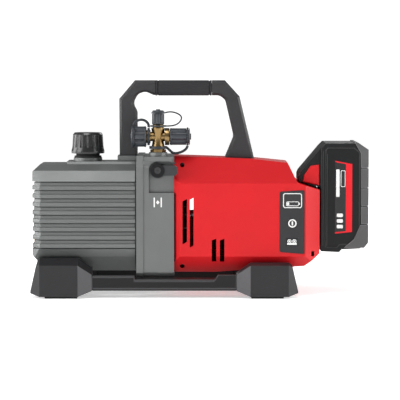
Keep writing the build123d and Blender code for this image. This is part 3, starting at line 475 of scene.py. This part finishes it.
WELD_REACH = 0.005 * MM
SHARP_ANGLE = math.radians(28)


def join_edges(piece):
    """Joins the split edges of a CAD mesh, so that its faces shade as one surface."""
    weld = piece.modifiers.new("weld", "WELD")
    weld.merge_threshold = WELD_REACH


def soften(name, width):
    """Joins the node's split edges and rounds the sharp ones."""
    piece = nodes[name]
    join_edges(piece)
    edge = piece.modifiers.new("rounded_edges", "BEVEL")
    edge.width = width * MM
    edge.segments = 3
    edge.limit_method = "ANGLE"
    edge.angle_limit = SHARP_ANGLE
    edge.use_clamp_overlap = True
    edge.harden_normals = True
    # Rounded edges take a lighter look: a painted highlight along them
    if name in EDGE_HIGHLIGHT_LOOKS:
        piece.data.materials.append(LOOKS[EDGE_HIGHLIGHT_LOOKS[name]])
        edge.material = len(piece.data.materials) - 1


# ---------------------------------------------------------------- pieces made here


def mm(*values):
    """Millimetres as metres."""
    return [value * MM for value in values]


def new_piece(name, bm, look, body):
    """Piece with one look that rides on a body."""
    data = bpy.data.meshes.new(name)
    bm.to_mesh(data)
    bm.free()
    piece = bpy.data.objects.new(name, data)
    bpy.context.scene.collection.objects.link(piece)
    piece.data.materials.append(LOOKS[look])
    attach(piece, body)


def plate(outline, face_y, thickness, bm=None):
    """Thin solid on a front face from an (x, z) outline, in metres."""
    bm = bm or bmesh.new()
    back = [bm.verts.new((x, face_y, z)) for x, z in outline]
    fore = [bm.verts.new((x, face_y - thickness, z)) for x, z in outline]
    count = len(outline)
    bm.faces.new(back)
    bm.faces.new(list(reversed(fore)))
    for i in range(count):
        j = (i + 1) % count
        bm.faces.new((back[j], back[i], fore[i], fore[j]))
    bmesh.ops.recalc_face_normals(bm, faces=bm.faces)
    return bm


def rounded(middle_x, middle_z, width, height, radius, steps=5):
    """Outline of a rounded rectangle."""
    points = []
    for way_x, way_z, start in ((1, 1, 0), (-1, 1, 90), (-1, -1, 180), (1, -1, 270)):
        corner_x = middle_x + way_x * (width / 2 - radius)
        corner_z = middle_z + way_z * (height / 2 - radius)
        for i in range(steps + 1):
            angle = math.radians(start + 90 * i / steps)
            points.append((corner_x + radius * math.cos(angle), corner_z + radius * math.sin(angle)))
    return points


def frame_plate(outer, inner, face_y, thickness):
    """Thin closed band between two outlines with the same number of points."""
    bm = bmesh.new()
    rings = []
    for outline in (outer, inner):
        back = [bm.verts.new((x, face_y, z)) for x, z in outline]
        fore = [bm.verts.new((x, face_y - thickness, z)) for x, z in outline]
        rings.append((back, fore))
    (outer_back, outer_fore), (inner_back, inner_fore) = rings
    count = len(outer)
    for i in range(count):
        j = (i + 1) % count
        bm.faces.new((outer_fore[i], outer_fore[j], inner_fore[j], inner_fore[i]))
        bm.faces.new((outer_back[j], outer_back[i], inner_back[i], inner_back[j]))
        bm.faces.new((outer_back[i], outer_back[j], outer_fore[j], outer_fore[i]))
        bm.faces.new((inner_back[j], inner_back[i], inner_fore[i], inner_fore[j]))
    bmesh.ops.recalc_face_normals(bm, faces=bm.faces)
    return bm


# Thickness of a printed mark
MARK = 0.12 * MM


def mark(name, bm, body):
    """White printed mark on a body."""
    new_piece(name, bm, "white_mark", body)


def line_mark(name, place, outer, inner, face, body, slot="panel_plastic", steps=5):
    """White line between two rounded rectangles round one middle, each a width, height and radius."""
    outlines = [rounded(*place, *size, steps) for size in (outer, inner)]
    mark(name, frame_plate(*outlines, face, MARK), body)


# The flow mark's distance below the lever's pivot
FLOW_MARK_DROP = 39.5 * MM
# How far the pump housing's flange stands out past the face with the mark
FLANGE_STEP = 1.2 * MM


def flow_mark():
    """Painted flow symbol under the valve lever: two bars with a diamond between."""
    x, z, _ = front_of("lever_screw")
    z -= FLOW_MARK_DROP
    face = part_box("pump_housing")[0].y + FLANGE_STEP
    bm = bmesh.new()
    for side in (-1, 1):
        plate(rounded(x + side * 4.3 * MM, z, *mm(1.5, 12, 0.5)), face, MARK, bm)
    half_width, half_height = mm(2.2, 2.6)
    diamond = [(x, z + half_height), (x - half_width, z), (x, z - half_height), (x + half_width, z)]
    plate(diamond, face, MARK, bm)
    mark("flow_mark", bm, "pump")


# The battery symbol's distance below the middle of the screen
ICON_DROP = 3.9 * MM


def screen_marks():
    """White frame round the screen, and a battery symbol low on its glass."""
    low_corner, high_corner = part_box("screen")
    x, z, glass = front_of("screen")
    width, height = high_corner.x - low_corner.x, high_corner.z - low_corner.z
    outer = (width + 1.4 * MM, height + 1.4 * MM, 2.6 * MM)
    inner = (width - 0.6 * MM, height - 0.6 * MM, 1.8 * MM)
    line_mark("screen_frame", (x, z), outer, inner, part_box("control_panel")[0].y, "pump")
    z -= ICON_DROP
    line_mark("battery_icon", (x, z), mm(15.6, 5.6, 1.6), mm(14.2, 4.2, 1), glass, "pump")
    bm = plate(rounded(x + 8.6 * MM, z, *mm(1, 2.6, 0.4)), glass, MARK)
    plate(rounded(x - 5.4 * MM, z, *mm(2.6, 3.4, 0.6)), glass, MARK, bm)
    mark("battery_icon_cell", bm, "pump")


def power_symbol():
    """Ring with an upright bar in it."""
    x, z, face = front_of("power_button")
    ring = (mm(10.3, 10.3, 5.15), mm(7.4, 7.4, 3.7))
    line_mark("power_ring", (x, z), *ring, face, "power_key", "button_plastic", steps=8)
    bar = plate(rounded(x, z, *mm(1.8, 5, 0.5)), face, MARK)
    mark("power_bar", bar, "power_key")


def lamp_symbol():
    """Two small domes on one bar."""
    x, z, face = front_of("lamp_button")
    dome_rise = 1 * MM
    base = plate(rounded(x, z - 2.3 * MM, *mm(12, 2.2, 0.7)), face, MARK)
    domes = {"lamp_left": x - 3 * MM, "lamp_right": x + 3 * MM}
    for dome_x in domes.values():
        plate(rounded(dome_x, z + dome_rise, *mm(2, 2, 1)), face, MARK, base)
    mark("lamp_base", base, "lamp_key")
    for name, dome_x in domes.items():
        rim = (mm(5, 5, 2.5), mm(3.4, 3.4, 1.7))
        line_mark(name, (dome_x, z + dome_rise), *rim, face, "lamp_key", "button_plastic")


# Depth of the label below the case's front
LABEL_DEPTH = 0.9 * MM
# Distance of the label's left edge from the case's left side, in millimetres
LABEL_LEFT = 17.6


def on_pack(x, z):
    """Point on the front of the battery case, in millimetres from its lower left corner."""
    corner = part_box("battery_case")[0]
    return corner.x + x * MM, corner.z + z * MM


def label_outline(right, top, bottom, slant, foot):
    """Four-sided outline whose top falls and whose bottom rises to the right, in millimetres."""
    corners = [(LABEL_LEFT, top), (LABEL_LEFT, bottom), (right, bottom + foot), (right, top - slant)]
    return [on_pack(x, z) for x, z in corners]


def pack_label():
    """Unlettered side label of the battery: dark field, red band, pale shapes."""
    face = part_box("battery_case")[0].y + LABEL_DEPTH
    red = label_outline(38.8, 113.6, 23.2, slant=3.9, foot=2)
    new_piece("label_red", plate(red, face, MARK), "red_mark", "battery_pack")
    dark = label_outline(30.9, 112, 25, slant=2.4, foot=1.2)
    new_piece("label_field", plate(dark, face - MARK, MARK), "gloss_black", "battery_pack")
    top = face - 2 * MARK
    bm = plate(rounded(*on_pack(21, 86), *mm(4.2, 34, 1)), top, MARK)
    for height in (32, 39, 46):
        plate(rounded(*on_pack(23.6, height), *mm(7.6, 4.4, 1.2)), top, MARK, bm)
    mark("label_shapes", bm, "battery_pack")
    box = (mm(5.8, 20.5, 1.4), mm(4.4, 19.1, 0.9))
    line_mark("label_box", on_pack(27.4, 91.5), *box, top, "battery_pack")


# Middle and top of each moulded rib, and the bottom of both: millimetres from the case's lower left corner
RIDGES = ((2.6, 126), (7.6, 122))
RIDGE_BOTTOM = 8
RIDGE_HEIGHT = 0.45 * MM


def pack_ridges():
    """Moulded upright ribs beside the motor housing, on both sides of the battery."""
    low_corner, high_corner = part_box("battery_case")
    bm = bmesh.new()
    for face, way in ((low_corner.y, 1), (high_corner.y, -1)):
        for x, top in RIDGES:
            middle = on_pack(x, (top + RIDGE_BOTTOM) / 2)
            outline = rounded(*middle, *mm(1, top - RIDGE_BOTTOM, 0.45))
            plate(outline, face, way * RIDGE_HEIGHT, bm)
    # The ribs take the pack's lighter edge look: a painted highlight
    new_piece("pack_ridges", bm, "pack_edge_highlight", "battery_pack")


def bending_strap(name):
    """Copy of the CAD strap that stands in for it."""
    piece = bpy.data.objects.new(name + "_soft", nodes[name].data.copy())
    bpy.context.scene.collection.objects.link(piece)
    dress(piece, "strap")
    join_edges(piece)
    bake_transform(piece)
    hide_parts(name)


# How much of each strap stays with the anchor ring when its cap comes off
STRAP_HELD = {"left": 3 * MM, "right": 6 * MM, "top": 3 * MM}


def add_straps():
    for side, held in STRAP_HELD.items():
        if side == "left":
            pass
        elif side == "right":
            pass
        else:
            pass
        bending_strap(f"{side}_strap")


FLOOR_HALF = 6
FLOOR_GLOW = 0.46


def add_floor():
    data = bpy.data.meshes.new("floor")
    bm = bmesh.new()
    corners = [(-1, -1), (1, -1), (1, 1), (-1, 1)]
    bm.faces.new([bm.verts.new((x * FLOOR_HALF, y * FLOOR_HALF, 0)) for x, y in corners])
    bm.to_mesh(data)
    bm.free()
    floor = bpy.data.objects.new("floor", data)
    bpy.context.scene.collection.objects.link(floor)
    material, tree_nodes, links = new_material("floor")
    shader = tree_nodes["Principled BSDF"]
    shader.inputs["Roughness"].default_value = 0.9
    shader.inputs["Emission Color"].default_value = (1, 1, 1, 1)
    shader.inputs["Emission Strength"].default_value = FLOOR_GLOW
    clouds = noise(tree_nodes, links, 3)
    colour = two_tone(tree_nodes, links, clouds, (0.93, 0.93, 0.93), (0.95, 0.95, 0.95))
    links.new(colour, shader.inputs["Base Color"])
    data.materials.append(material)


add_camera()
add_studio()
dress_nodes()
for node_name, edge_width in EDGE_WIDTHS.items():
    soften(node_name, edge_width)
flow_mark()
screen_marks()
power_symbol()
lamp_symbol()
pack_label()
pack_ridges()
add_straps()
add_floor()
